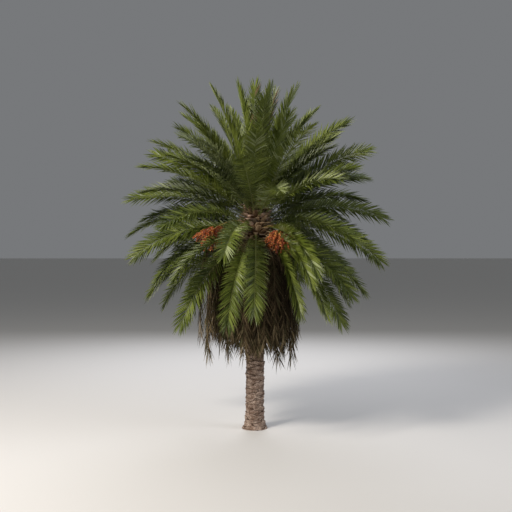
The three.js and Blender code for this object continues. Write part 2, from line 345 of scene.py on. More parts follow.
def matted_leaf_fibre():
    """Leaf sheath fibre: coarse dry brown threads, woven and frayed, with no shine."""
    material = bpy.data.materials.new("matted leaf fibre")
    material.use_nodes = True
    tree = material.node_tree
    shader = tree.nodes["Principled BSDF"]
    shader.inputs["Roughness"].default_value = 0.95
    shader.inputs["Specular IOR Level"].default_value = 0.15
    place = node(tree, "ShaderNodeTexCoord").outputs["Object"]
    # Threads are about 1 mm thick; they are drawn about 6 mm apart, as fine as shows.
    upright = node(tree, "ShaderNodeMapping", {"Scale": (1.0, 1.0, 0.2)}, {"Vector": place})
    weave = node(tree, "ShaderNodeTexNoise", {"Scale": 150.0, "Detail": 4.0},
                 {"Vector": upright.outputs["Vector"]})
    brown = node(tree, "ShaderNodeValToRGB", links={"Fac": weave.outputs["Fac"]})
    brown.color_ramp.elements[0].position = 0.38
    brown.color_ramp.elements[0].color = linear("#2b2015")
    brown.color_ramp.elements[1].position = 0.68
    brown.color_ramp.elements[1].color = linear("#7d6244")
    tree.links.new(brown.outputs["Color"], shader.inputs["Base Color"])
    bump = node(tree, "ShaderNodeBump", {"Strength": 0.8, "Distance": 0.006},
                {"Height": weave.outputs["Fac"]})
    tree.links.new(bump.outputs["Normal"], shader.inputs["Normal"])
    return material


heart.data.materials.append(matted_leaf_fibre())
bpy.ops.object.shade_smooth()
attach(heart, "root")
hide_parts("crown_heart")


def pick(piece, test):
    """Selects, in edit mode, the points of a mesh whose place passes the test."""
    bpy.ops.mesh.select_mode(type="VERT")
    bpy.ops.mesh.select_all(action="DESELECT")
    bpy.ops.object.mode_set(mode="OBJECT")
    for vertex in piece.data.vertices:
        vertex.select = test(*vertex.co)
    bpy.ops.object.mode_set(mode="EDIT")


def take_pattern(piece):
    """Takes the points and faces of a modelled pattern, and clears it away."""
    bpy.ops.object.mode_set(mode="OBJECT")
    points = np.array([tuple(vertex.co) for vertex in piece.data.vertices])
    faces = [tuple(polygon.vertices) for polygon in piece.data.polygons]
    bpy.ops.object.select_all(action="DESELECT")
    piece.select_set(True)
    bpy.ops.object.delete()
    return points, faces


class Gathering:
    """Copies of modelled patterns, each with its shade, gathered to be joined into one mesh."""

    def __init__(self):
        self.points = []
        self.corners = []
        self.sizes = []
        self.shades = []
        self.count = 0

    def add(self, faces, places, shades):
        """Adds copies: places is copies by points by 3, and shades has one for each copy."""
        copies, points, _ = places.shape
        corners = np.concatenate([np.array(face) for face in faces])
        starts = self.count + points * np.arange(copies)
        self.points.append(places.reshape(-1, 3))
        self.corners.append((starts[:, None] + corners[None, :]).ravel())
        self.sizes.append(np.tile([len(face) for face in faces], copies))
        self.shades.append(np.repeat(np.asarray(shades), len(faces)) if np.ndim(shades) == 1
                           else np.asarray(shades).ravel())
        self.count += copies * points

    def join(self, name, materials, smooth=False):
        sizes = np.concatenate(self.sizes)
        corners = np.concatenate(self.corners)
        mesh = bpy.data.meshes.new(name)
        mesh.vertices.add(self.count)
        mesh.vertices.foreach_set("co", np.concatenate(self.points).astype(np.float32).ravel())
        mesh.loops.add(len(corners))
        mesh.loops.foreach_set("vertex_index", corners.astype(np.int32))
        mesh.polygons.add(len(sizes))
        mesh.polygons.foreach_set("loop_start", (np.cumsum(sizes) - sizes).astype(np.int32))
        for material in materials:
            mesh.materials.append(material)
        mesh.polygons.foreach_set("material_index", np.concatenate(self.shades).astype(np.int32))
        mesh.polygons.foreach_set("use_smooth", np.full(len(sizes), smooth))
        mesh.update(calc_edges=True)
        piece = bpy.data.objects.new(name, mesh)
        bpy.context.collection.objects.link(piece)
        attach(piece, "root")
        return piece


def unit(vectors):
    return vectors / np.linalg.norm(vectors, axis=-1, keepdims=True)


# One stub, sawn off square, lies along y from 0 to 1, flat above and hollow-backed below.
bpy.ops.object.select_all(action="DESELECT")
bpy.ops.mesh.primitive_cube_add(size=1, location=(0, 0.5, 0))
stub = bpy.context.object
bpy.ops.object.transform_apply(location=True)
bpy.ops.object.mode_set(mode="EDIT")
bpy.ops.mesh.subdivide(number_cuts=1)
pick(stub, lambda x, y, z: z < -0.4 and abs(x) > 0.4)
bpy.ops.transform.resize(value=(0.55, 1, 1))
pick(stub, lambda x, y, z: z > 0.4 and abs(x) < 0.1)
bpy.ops.transform.translate(value=(0, 0, -0.22))
pick(stub, lambda x, y, z: abs(y - 0.5) < 0.1)
bpy.ops.transform.resize(value=(0.80, 1, 0.85))
pick(stub, lambda x, y, z: y > 0.9)
bpy.ops.transform.resize(value=(0.58, 1, 0.75))
bpy.ops.transform.translate(value=(0, 0, -0.05))
pick(stub, lambda x, y, z: y > 0.9 and z > 0.1)
bpy.ops.transform.translate(value=(0, -0.08, 0))
stub_points, stub_faces = take_pattern(stub)

# The stubs go up the heart in a spiral. The first is the odd one, left alone low on the stem.
stub_dice = np.random.default_rng(11)
stubs = Gathering()
spiral = np.arange(STUB_COUNT)
stub_height = STUB_FIRST + (STUB_LAST - STUB_FIRST) * spiral / (STUB_COUNT - 1)
stub_bearing = spiral * GOLDEN_TURN + stub_dice.uniform(-0.12, 0.12, STUB_COUNT)
stub_height[0], stub_bearing[0] = LONE_STUB_HEIGHT, LONE_STUB_BEARING
stub_pitch = np.radians(stub_dice.uniform(*STUB_PITCHES, STUB_COUNT))
stub_out = np.stack([np.cos(stub_bearing), np.sin(stub_bearing), 0 * stub_bearing], 1)
stub_side = np.stack([-np.sin(stub_bearing), np.cos(stub_bearing), 0 * stub_bearing], 1)
upward = np.array([0.0, 0.0, 1.0])
stub_along = stub_out * np.cos(stub_pitch)[:, None] + upward * np.sin(stub_pitch)[:, None]
stub_face = np.cross(stub_side, stub_along) * -1
stub_foot = np.maximum(seat_radius(stub_height), trunk_radius(stub_height)) - STUB_ROOTING
stub_foot[0] = trunk_radius(LONE_STUB_HEIGHT) - LONE_STUB_ROOTING
stub_root = stub_out * stub_foot[:, None] + np.stack(
    [np.full(STUB_COUNT, TRUNK_LEAN), np.zeros(STUB_COUNT), stub_height], 1)
stub_sizes = np.stack([
    stub_dice.uniform(*STUB_WIDTHS, STUB_COUNT),
    stub_dice.uniform(*STUB_LENGTHS, STUB_COUNT),
    stub_dice.uniform(*STUB_THICKNESSES, STUB_COUNT)], 1)
stub_sizes[0] = LONE_STUB_SIZE
stub_places = stub_root[:, None, :] + sum(
    stub_points[None, :, i, None] * stub_sizes[:, i, None, None] * direction[:, None, :]
    for i, direction in enumerate((stub_side, stub_along, stub_face)))
stubs.add(stub_faces, stub_places, stub_dice.choice([0, 0, 1, 2, 2, 3], STUB_COUNT))


def sawn_stalk(name, dark, light):
    """Sawn leaf stalk: dry, hard and dull, with frayed fibres in a darker and a lighter tone."""
    material = bpy.data.materials.new(name)
    material.use_nodes = True
    tree = material.node_tree
    shader = tree.nodes["Principled BSDF"]
    shader.inputs["Roughness"].default_value = 0.85
    shader.inputs["Specular IOR Level"].default_value = 0.25
    place = node(tree, "ShaderNodeTexCoord").outputs["Object"]
    # Fibre bundles are 2 to 3 mm thick; they are drawn about 12 mm apart, so that they show.
    fibres = node(tree, "ShaderNodeTexNoise", {"Scale": 80.0, "Detail": 4.0}, {"Vector": place})
    tone = node(tree, "ShaderNodeValToRGB", links={"Fac": fibres.outputs["Fac"]})
    tone.color_ramp.elements[0].position = 0.36
    tone.color_ramp.elements[0].color = linear(dark)
    tone.color_ramp.elements[1].position = 0.62
    tone.color_ramp.elements[1].color = linear(light)
    tree.links.new(tone.outputs["Color"], shader.inputs["Base Color"])
    bump = node(tree, "ShaderNodeBump", {"Strength": 0.6, "Distance": 0.004},
                {"Height": fibres.outputs["Fac"]})
    tree.links.new(bump.outputs["Normal"], shader.inputs["Normal"])
    return material


stub_materials = [
    sawn_stalk("sawn stalk tan", "#7d654c", "#b8a080"),
    sawn_stalk("sawn stalk brown", "#4f3d2c", "#8a6e54"),
    sawn_stalk("sawn stalk pink", "#9a7f6c", "#d0b5a2"),
    sawn_stalk("sawn stalk grey", "#4a3f33", "#7c6d5b"),
]
stubs.join("leaf_stubs", stub_materials)

# -----------------------------------------------------------------------------
# The green fronds: each one a feather 3.4 m long. A tapering rib, broad where it clasps the heart,
# carries two ranks of stiff folded leaflets, in small groups that stand at several angles, with
# spines below them. Frond by frond the ribs follow the blades of the frame.
# -----------------------------------------------------------------------------

FROND_LENGTH = 3.40
LENGTH_SPREAD = 0.025
YOUNG_RISE = 62
YOUNG_SHORTENING = 0.065
FULL_DROOP = 50
FULL_DROOP_RISE = 10
DROOP_SPREAD = 0.1
SWAY = 8
LOOSE_TURN = 16
RIB_STEPS = 36
# The tiers from the top down, in degrees: rise is a frond's slope at its seat, turn how far its blade
# rolls, single and twin the bearings, and seats the few fronds that start on another side.
TIERS = [
    {"rise": 84, "turn": 15, "single": [40, 230, 265, 302], "twin": []},
    {"rise": 76, "turn": 12, "single": [206, 322], "twin": [110]},
    {"rise": 68, "turn": 12, "single": [28], "twin": [150]},
    {"rise": 62, "turn": 50, "single": [214, 278], "twin": [65]},
    {"rise": 58, "turn": 50, "single": [350], "twin": []},
    {"rise": 50, "turn": 12, "single": [176, 300], "twin": [105]},
    {"rise": 45, "turn": 50, "single": [356, 168, 235], "twin": [55]},
    {"rise": 36, "turn": 25, "single": [14, 210, 262], "twin": [125]},
    {"rise": 25, "turn": 50, "single": [36, 180, 282], "twin": [90]},
    {"rise": 19, "turn": 45, "single": [358], "twin": []},
    {"rise": 13, "turn": 25, "single": [172, 228], "twin": [60, 140]},
    {"rise": 1, "turn": 50, "single": [192, 152, 346, 262], "twin": [105], "seats": {262: 222}},
    {"rise": -4, "turn": 20, "single": [292], "twin": [], "seats": {292: 325}},
    {"rise": -17, "turn": 25, "single": [169, 8, 322], "twin": [70, 130]},
    {"rise": -24, "turn": 35, "single": [158, 24, 302, 270], "twin": [95], "seats": {302: 333}},
    {"rise": -32, "turn": 45, "single": [223, 252, 326], "twin": []},
]
HIGHEST_RISE = TIERS[0]["rise"]
LOWEST_RISE = TIERS[-1]["rise"]
TWIN_BEARING = 7
TWIN_RISE = 4.5

GROUPS_A_SIDE = 38
FIRST_GROUP = 0.145
LAST_GROUP = 0.925
GROUP_LIFTS = (46, 18, -12)
GROUP_SPACING = 0.16
# Towards the foot of a closed frond, the leaflets stand this steeply, as on one still unfolding.
CLOSED_LIFT = 76
OPENING_RATE = 1.7
# Leaflets lean this far off the rib at its foot, less along it, and less still at its tip.
LEAFLET_ANGLE = 62
ANGLE_FALL = 33
TIP_ANGLE_FALL = 20
TIP_START = 0.78
TIP_RANGE = 0.145
TIP_SHORTENING = 0.14
LEAFLET_WIDTH = 0.033
LEAFLET_LENGTH = 0.50
RIB_BASE_HALF = 0.024
RIB_TIP_HALF = 0.0025
RIB_DEPTH = 0.015
CLASP_SHARE = 0.07
CLASP_BREADTH = 1.3
CLASP_COLOUR_SHARE = 0.05
SPINES_A_SIDE = 9
FIRST_SPINE = 0.025
SPINE_SPACING = 0.009
SPINE_LENGTH = 0.07
SPINE_GROWTH = 0.010
SPINE_WIDTH = 0.010

INNER_FRONDS = 40
INNER_TURN = 30
INNER_SHORTNESS = 0.84
INNER_SPREAD = 0.05
INNER_HIGHEST = 70
INNER_RANGE = 92
INNER_FIRST_BEARING = 25
# Below this rise, none stands between these bearings, where the fruit and the heart show.
OPEN_BELOW = 38
OPEN_FROM, OPEN_TO = 185, 335
FILLING_SHORTNESS = 0.86
# Fronds added one by one where the crown has a gap: rise, bearing and bearing of the seat.
FILLING_FRONDS = [
    (-33, 297, 333), (34, 318, 318), (8, 325, 325), (50, 238, 238), (9, 24, 24), (4, 48, 48), (14, 80, 80),
    (8, 112, 112), (3, 140, 140), (57, 203, 203), (30, 195, 195), (-12, 186, 186), (41, 344, 344),
    (54, 334, 334), (-12, 222, 238), (-12, 293, 340),
]
# Of these, the ones whose blade lies nearly level, by rise and bearing.
LEVEL_FRONDS = [(-12, 222)]


def vary(i, k):
    """A fixed scatter from -1 to 1 for the k-th feature of frond i, the same as in the frame."""
    wave = math.sin(i * 12.9898 + k * 78.233) * 43758.5453
    return 2 * (wave - math.floor(wave)) - 1


def crown_fronds():
    """The fronds with their numbers, in the frame's order, and the node that holds each."""
    fronds = []
    counts = {"frond": 0, "twin_fronds": 0}

    def node_name(kind):
        counts[kind] += 1
        return f"{kind}_{counts[kind]:02d}"

    for tier in TIERS:
        for bearing in tier["single"]:
            fronds.append((node_name("frond"), tier, bearing, 0))
        for bearing in tier["twin"]:
            name = node_name("twin_fronds")
            fronds.append((name, tier, bearing, -1))
            fronds.append((name, tier, bearing, 1))
    return [{
        "node": name, "number": number, "mirror": mirror, "turn": tier["turn"],
        "bearing": bearing + mirror * TWIN_BEARING, "rise": tier["rise"] - mirror * TWIN_RISE,
        "seat_bearing": tier.get("seats", {}).get(bearing, bearing), "seat_rise": tier["rise"],
        "aim": (tier["rise"], bearing), "shortness": 1.0,
    } for number, (name, tier, bearing, mirror) in enumerate(fronds, start=1)]


def inner_fronds():
    """Shorter fronds in the depth of the crown, between the long ones, in a spiral of their own."""
    fronds = []
    for i in range(INNER_FRONDS):
        rise = INNER_HIGHEST - INNER_RANGE * i / (INNER_FRONDS - 1)
        bearing = (INNER_FIRST_BEARING + GOLDEN_ANGLE * i) % 360
        if rise < OPEN_BELOW and OPEN_FROM < bearing < OPEN_TO:
            continue
        fronds.append({
            "node": None, "number": 200 + i, "mirror": 0, "turn": INNER_TURN, "bearing": bearing,
            "rise": rise, "seat_bearing": bearing, "seat_rise": rise, "aim": None,
            "shortness": INNER_SHORTNESS + INNER_SPREAD * vary(i, 9),
        })
    for i, (rise, bearing, seat_bearing) in enumerate(FILLING_FRONDS):
        fronds.append({
            "node": None, "number": 300 + i, "mirror": 0,
            "turn": 0 if (rise, bearing) in LEVEL_FRONDS else INNER_TURN, "bearing": bearing,
            "rise": rise, "seat_bearing": seat_bearing, "seat_rise": max(rise, LOWEST_RISE),
            "aim": (rise, bearing), "shortness": FILLING_SHORTNESS,
        })
    return fronds


def frond_path(frond):
    """The way of a rib from its seat: rows of point, forward, side and face."""
    number, rise = frond["number"], frond["rise"]
    young = max(0, (rise - YOUNG_RISE) / (HIGHEST_RISE - YOUNG_RISE))
    length = FROND_LENGTH * (1 - YOUNG_SHORTENING * young) * (1 + LENGTH_SPREAD * vary(number, 1))
    length *= frond["shortness"]
    droop = FULL_DROOP * math.cos(math.radians(rise - FULL_DROOP_RISE))
    droop *= 1 + DROOP_SPREAD * vary(number, 2)
    sway = SWAY * vary(number, 3)
    up = (frond["seat_rise"] - LOWEST_RISE) / (HIGHEST_RISE - LOWEST_RISE)
    height = SEAT_LOW + (SEAT_HIGH - SEAT_LOW) * up
    seat = math.radians(frond["seat_bearing"])
    reach = float(seat_radius(height))
    point = np.array([TRUNK_LEAN + reach * math.cos(seat), reach * math.sin(seat), height])
    rows = []
    for i in range(RIB_STEPS + 1):
        along = i / RIB_STEPS
        pitch = math.radians(rise - droop * along ** 1.5)
        heading = math.radians(frond["bearing"] + sway * along)
        turn = frond["mirror"] * frond["turn"] if frond["mirror"] else frond["turn"] * math.cos(heading)
        roll = math.radians(turn + LOOSE_TURN * vary(number, 6)) * min(1, 2 * along)
        forward = np.array([
            math.cos(pitch) * math.cos(heading), math.cos(pitch) * math.sin(heading), math.sin(pitch)])
        level = np.array([-math.sin(heading), math.cos(heading), 0.0])
        side = level * math.cos(roll) + np.cross(forward, level) * math.sin(roll)
        rows.append((point, forward, side, np.cross(forward, side)))
        point = point + forward * length / RIB_STEPS
    return np.array(rows)


def along_path(path, places):
    """Points and directions at places from 0 to 1 along a path."""
    steps = np.linspace(0, 1, len(path))
    flat = path.reshape(len(path), -1)
    mixed = np.stack([np.interp(places, steps, column) for column in flat.T], 1).reshape(-1, 4, 3)
    return mixed[:, 0], unit(mixed[:, 1]), unit(mixed[:, 2]), unit(mixed[:, 3])


# One rib, straight, lies along y from 0 to 1, 2 wide and 2 deep: flat above and keeled below.
bpy.ops.object.select_all(action="DESELECT")
bpy.ops.mesh.primitive_grid_add(x_subdivisions=6, y_subdivisions=18, size=1, location=(0, 0.5, 0))
rib = bpy.context.object
bpy.ops.object.transform_apply(location=True)
flat_rib = [tuple(vertex.co) for vertex in rib.data.vertices]
keeled = [(1, 0.35), (0.45, 0.75), (-0.45, 0.75), (-1, 0.35), (-0.45, -0.8), (0.45, -0.8)]
for vertex, (x, y, _) in zip(rib.data.vertices, flat_rib):
    corner = keeled[round((x + 0.5) * 6) % 6]
    vertex.co = (corner[0], y, corner[1])
bpy.ops.object.mode_set(mode="EDIT")
bpy.ops.mesh.select_all(action="SELECT")
bpy.ops.mesh.remove_doubles(threshold=0.001)
pick(rib, lambda x, y, z: y < 0.001 or y > 0.999)
bpy.ops.mesh.select_mode(type="EDGE")
bpy.ops.mesh.select_all(action="DESELECT")
bpy.ops.mesh.select_non_manifold()
bpy.ops.mesh.edge_face_add()
bpy.ops.mesh.select_all(action="SELECT")
bpy.ops.mesh.normals_make_consistent(inside=False)
rib_points, rib_faces = take_pattern(rib)
rib_face_places = np.array([np.mean([rib_points[i][1] for i in face]) for face in rib_faces])

# One leaflet lies along y from 0 to 1, 1 wide, folded up along its middle and drawn to a point.
bpy.ops.object.select_all(action="DESELECT")
bpy.ops.mesh.primitive_grid_add(x_subdivisions=2, y_subdivisions=3, size=1, location=(0, 0.5, 0))
leaflet = bpy.context.object
bpy.ops.object.transform_apply(location=True)
bpy.ops.object.mode_set(mode="EDIT")
pick(leaflet, lambda x, y, z: y < 0.1)
bpy.ops.transform.resize(value=(0.50, 1, 1))
pick(leaflet, lambda x, y, z: 0.5 < y < 0.9)
bpy.ops.transform.resize(value=(0.66, 1, 1))
pick(leaflet, lambda x, y, z: y > 0.9)
bpy.ops.mesh.merge(type="CENTER")
pick(leaflet, lambda x, y, z: abs(x) < 0.01 and y < 0.9)
bpy.ops.transform.translate(value=(0, 0, -0.22))
leaflet_points, leaflet_faces = take_pattern(leaflet)


def lay_rib(gathering, path, end, base_half, tip_half, depth, shades):
    """Bends a rib along its path as far as end, tapering, and broader where it clasps the heart."""
    places = rib_points[:, 1]
    points, _, side, face = along_path(path, places * end)
    clasp = 1 + CLASP_BREADTH * np.clip(1 - places / CLASP_SHARE, 0, 1) ** 1.5
    half = (tip_half + (base_half - tip_half) * (1 - places) ** 1.4) * clasp
    thick = tip_half + (depth - tip_half) * (1 - places) ** 1.2
    laid = points + side * (rib_points[:, 0] * half)[:, None] + face * (rib_points[:, 2] * thick)[:, None]
    gathering.add(rib_faces, laid[None], shades)


def lay_leaflets(gathering, roots, along, across, lengths, widths, sag, shades, fold=1.0):
    """Copies the leaflet to each root, turned, stretched, and bent down by its own weight."""
    keel = np.cross(across, along)
    x, y, z = (leaflet_points[None, :, i, None] for i in range(3))
    laid = (roots[:, None, :] + along[:, None, :] * y * lengths[:, None, None]
            + (across[:, None, :] * x + keel[:, None, :] * z * fold) * widths[:, None, None])
    laid[:, :, 2] -= (sag * lengths)[:, None] * leaflet_points[None, :, 1] ** 2
    gathering.add(leaflet_faces, laid, shades)


def leaflet_reach(place):
    """Length of the leaflets along a frond: short low down, full in the middle, less at the tip."""
    opening = np.clip((place - 0.05) / 0.30, 0, 1) ** 0.7
    closing = 1 - 0.16 * np.clip((place - 0.6) / 0.33, 0, 1) ** 1.5
    return LEAFLET_LENGTH * (0.28 + 0.72 * opening) * closing


def dress_frond(gathering, path, dice, shades, closing=0.0):
    """Two ranks of leaflets, three to a group, standing at three angles to the blade."""
    group, rank, layer = (grid.ravel() for grid in np.meshgrid(
        np.arange(GROUPS_A_SIDE), (-1, 1), np.arange(len(GROUP_LIFTS)), indexing="ij"))
    count = len(group)
    step = group + 0.5 * (rank > 0) + GROUP_SPACING * layer + dice.uniform(-0.10, 0.10, count)
    place = FIRST_GROUP + (LAST_GROUP - FIRST_GROUP) * np.clip(step / GROUPS_A_SIDE, 0, 1)
    points, forward, side, face = along_path(path, place)
    shut = closing * np.clip(OPENING_RATE - OPENING_RATE * place, 0, 1)
    lift = np.array(GROUP_LIFTS)[layer] * (1 - 0.45 * place) * (1 - shut) + CLOSED_LIFT * shut
    lift = lift + dice.normal(0, 6, count)
    tip = np.clip((place - TIP_START) / TIP_RANGE, 0, 1) ** 2
    angle = (LEAFLET_ANGLE - ANGLE_FALL * place - TIP_ANGLE_FALL * tip) * (1 - 0.4 * closing)
    angle = angle + dice.normal(0, 4, count)
    lift, angle = np.radians(lift)[:, None], np.radians(angle)[:, None]
    outward = side * rank[:, None] * np.cos(lift) + face * np.sin(lift)
    along = unit(forward * np.cos(angle) + outward * np.sin(angle))
    across = unit(np.cross(along, face * np.cos(lift) - side * rank[:, None] * np.sin(lift)))
    lengths = leaflet_reach(place) * (1 - TIP_SHORTENING * tip) * dice.uniform(0.88, 1.06, count)
    widths = LEAFLET_WIDTH * (0.55 + 0.45 * lengths / LEAFLET_LENGTH)
    spray = dice.integers(0, len(shades), (GROUPS_A_SIDE // 2 + 1, 2))
    shade = np.array(shades)[(spray[group // 2, (rank > 0).astype(int)] + (layer == 2)) % len(shades)]
    lay_leaflets(gathering, points, along, across, lengths, widths, dice.uniform(0.0, 0.10, count), shade)


def add_spines(gathering, path, dice):
    """Stiff spines on the bare stalk, where leaflets have grown into thorns."""
    step, rank = (grid.ravel() for grid in np.meshgrid(
        np.arange(SPINES_A_SIDE), (-1, 1), indexing="ij"))
    count = len(step)
    places = FIRST_SPINE + SPINE_SPACING * step + dice.uniform(0, 0.004, count)
    points, forward, side, face = along_path(path, places)
    lean = dice.uniform(0.0, 0.5, count)[:, None]
    along = unit(forward * 0.6 + side * rank[:, None] * 0.8 + face * lean)
    lengths = SPINE_LENGTH + SPINE_GROWTH * step
    lay_leaflets(gathering, points, along, unit(np.cross(along, face)), lengths,
                 np.full(count, SPINE_WIDTH), np.zeros(count), np.full(count, 3))


# Date leaflets: leathery, grey green under a thin bloom of wax, yellower and paler with age.
green_materials = [
    plain_material("deep green leaflet", "#323d0d", 0.48),
    plain_material("green leaflet", "#424e14", 0.46),
    plain_material("fresh green leaflet", "#56621f", 0.44),
    plain_material("light green leaflet", "#6b762f", 0.44),
    plain_material("bloomed grey leaflet", "#8f986a", 0.55),
    plain_material("yellowing leaflet", "#7a7438", 0.6),
    plain_material("browned leaflet", "#6b4f35", 0.7),
]
# Ribs and stalks: smooth and hard, green, turning tan where they clasp the heart.
rib_materials = [
    plain_material("green rib", "#566026", 0.45),
    plain_material("pale green rib", "#6f7542", 0.45),
    plain_material("clasping leaf base", "#a08a68", 0.7),
]
# The shades of a frond's sprays of leaflets, by their places in green_materials.
SHADE_SETS = [
    [0, 0, 1, 1, 2],
    [0, 1, 1, 2, 2],
    [1, 1, 2, 2, 3],
    [1, 2, 2, 3, 3],
]
PALE_SET = [2, 2, 3, 3, 4]
# Painted light: a lighter set for fronds that face away from the key light.
PAINTED_LIGHT_SET = [2, 2, 3, 3]
LOW_SET = [1, 2, 2, 3, 3]
# Painted light: lighter sets for the fronds high in the crown, as light on the top of the crown.
TOP_PAINTED_LIGHT_SETS = [[1, 2, 2, 3, 3], [2, 2, 3, 3, 4]]
OLD_SET = [1, 1, 2, 2, 3, 3, 5]
DRY_TIP_SET = [0, 1, 1, 2, 2, 3, 6]
# Fronds with a set of their own, such as those with most wax, by rise and bearing. The pale sets are
# partly that wax and partly painted highlight where these fronds catch the light, and (45, 235) is painted
# pale over the shade on its underside.
SHADES_OF_FRONDS = {
    (45, 235): [4], (62, 214): [3, 3, 4], (36, 210): PALE_SET, (34, 318): [1, 2, 3], (50, 238): [3, 4, 4],
    (25, 282): [2, 3, 3, 4], (1, 262): PALE_SET, (-4, 292): PALE_SET,
    # Painted light: these fronds face away from the key light and take a lighter set to look lit.
    (45, 356): PAINTED_LIGHT_SET, (36, 14): PAINTED_LIGHT_SET, (25, 36): PAINTED_LIGHT_SET, (19, 358): PAINTED_LIGHT_SET,
    (1, 346): PAINTED_LIGHT_SET, (1, 152): PAINTED_LIGHT_SET, (-17, 169): PAINTED_LIGHT_SET, (-24, 158): PAINTED_LIGHT_SET,
    (-12, 293): [2, 3, 3, 4],
    (-24, 270): LOW_SET, (-32, 252): LOW_SET, (-32, 223): LOW_SET, (-33, 297): LOW_SET,
}
# From 0 for an open blade to 1 for one with its leaflets still folded up, by rise and bearing.
CLOSED_FRONDS = {(-4, 292): 0.85, (-24, 302): 0.85, (-33, 297): 0.85, (-12, 293): 0.85}
TOP_CLOSING = 0.6
TOP_CLOSING_RISE = 66
TOP_PAINTED_LIGHT_RISE = 48
DRY_TIP_RISE = 80
OLD_RISE = -20
OLD_SHARE = 0.5
FROND_SEED = 100

crown_groups = {"upper": (50, 90), "middle": (1, 50), "lower": (-40, 1)}
all_fronds = crown_fronds() + inner_fronds()
for group_name, (lowest, highest) in crown_groups.items():
    leaflets = Gathering()
    ribs = Gathering()
    covered = set()
    for frond in all_fronds:
        if not lowest <= frond["seat_rise"] < highest:
            continue
        if frond["node"]:
            covered.add(frond["node"])
        dice = np.random.default_rng(FROND_SEED + frond["number"])
        path = frond_path(frond)
        shades = SHADE_SETS[dice.integers(4)]
        # Painted light: fronds seated high in the crown take a lighter set.
        if frond["seat_rise"] > TOP_PAINTED_LIGHT_RISE:
            shades = TOP_PAINTED_LIGHT_SETS[dice.integers(2)]
        if frond["aim"] in SHADES_OF_FRONDS:
            shades = SHADES_OF_FRONDS[frond["aim"]]
        elif frond["seat_rise"] < OLD_RISE and dice.random() < OLD_SHARE:
            shades = OLD_SET
        elif frond["seat_rise"] > DRY_TIP_RISE and frond["number"] % 2:
            shades = DRY_TIP_SET
        rib_shades = np.where(rib_face_places < CLASP_COLOUR_SHARE, 2, dice.integers(2))
        lay_rib(ribs, path, LAST_GROUP + 0.01, RIB_BASE_HALF, RIB_TIP_HALF, RIB_DEPTH, rib_shades[None])
        usual_closing = TOP_CLOSING if frond["seat_rise"] > TOP_CLOSING_RISE else 0
        closing = CLOSED_FRONDS.get(frond["aim"], usual_closing)
        dress_frond(leaflets, path, dice, shades, closing)
        add_spines(leaflets, path, dice)
    green = leaflets.join(f"green_leaflets_{group_name}", green_materials)
    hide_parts(*sorted(covered))
    ribs.join(f"green_ribs_{group_name}", rib_materials, smooth=True)

# -----------------------------------------------------------------------------
# The skirt: the palm's dead fronds, never cut. Each has sunk on its own stalk until it hangs down
# along the stem, its leaflets dried, curled and limp, like a wet feather.
# -----------------------------------------------------------------------------

DEAD_COUNT = 112
DEAD_LENGTH = 3.62
DEAD_SEED = 500
DEAD_SEAT_RADIUS = 0.26
DEAD_SEAT_LOW = 4.50
DEAD_SEAT_RANGE = 0.52
DEAD_RIB_HALF = 0.018
DEAD_RIB_TIP_HALF = 0.003
DEAD_RIB_DEPTH = 0.010
# How far out a dead frond hangs, as a share of the widest: less on the +x side, and in steps that put
# near and far ones side by side.
SKIRT_REACH = 0.83
SIDE_REACH = 0.19
OUTERMOST = 0.84
REACH_STEP = 45
# Every ninth frond hangs lower than its neighbours, as a long wisp.
WISP_EVERY = 9
WISP_FIRST = 4
WISP_LENGTH = 0.14
HANGING_PITCH = 86
TUCK = 8
TUCK_START = 0.55
TUCK_RANGE = 0.45
DEAD_LEAFLETS_A_SIDE = 60
DEAD_FIRST_LEAFLET = 0.14
DEAD_LEAFLET_RANGE = 0.81
DEAD_LEAFLET_WIDTHS = (0.016, 0.030)
# From this place along a dead frond, over this share of it, more leaflets take a lighter shade.
LIGHTER_TIP_FROM = 0.62
LIGHTER_TIP_RANGE = 0.4
skirt_nodes = sorted(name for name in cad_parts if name.startswith("dead_fronds"))


def hanging_path(bearing, height, start_pitch, bend_share, length, wander):
    """A dead rib: out from the stem, over within bend_share of its length, then straight down."""
    point = np.array([
        TRUNK_LEAN + DEAD_SEAT_RADIUS * math.cos(bearing), DEAD_SEAT_RADIUS * math.sin(bearing), height])
    rows = []
    for i in range(RIB_STEPS + 1):
        along = i / RIB_STEPS
        bend = min(1, along / bend_share)
        sunk = bend * bend * (3 - 2 * bend)
        end_pitch = HANGING_PITCH + TUCK * max(0, along - TUCK_START) / TUCK_RANGE
        pitch = math.radians(start_pitch - (end_pitch + start_pitch) * sunk)
        heading = bearing + wander * along
        forward = np.array([
            math.cos(pitch) * math.cos(heading), math.cos(pitch) * math.sin(heading), math.sin(pitch)])
        side = np.array([-math.sin(heading), math.cos(heading), 0.0])
        rows.append((point, forward, side, np.cross(forward, side)))
        point = point + forward * length / RIB_STEPS
    return np.array(rows)


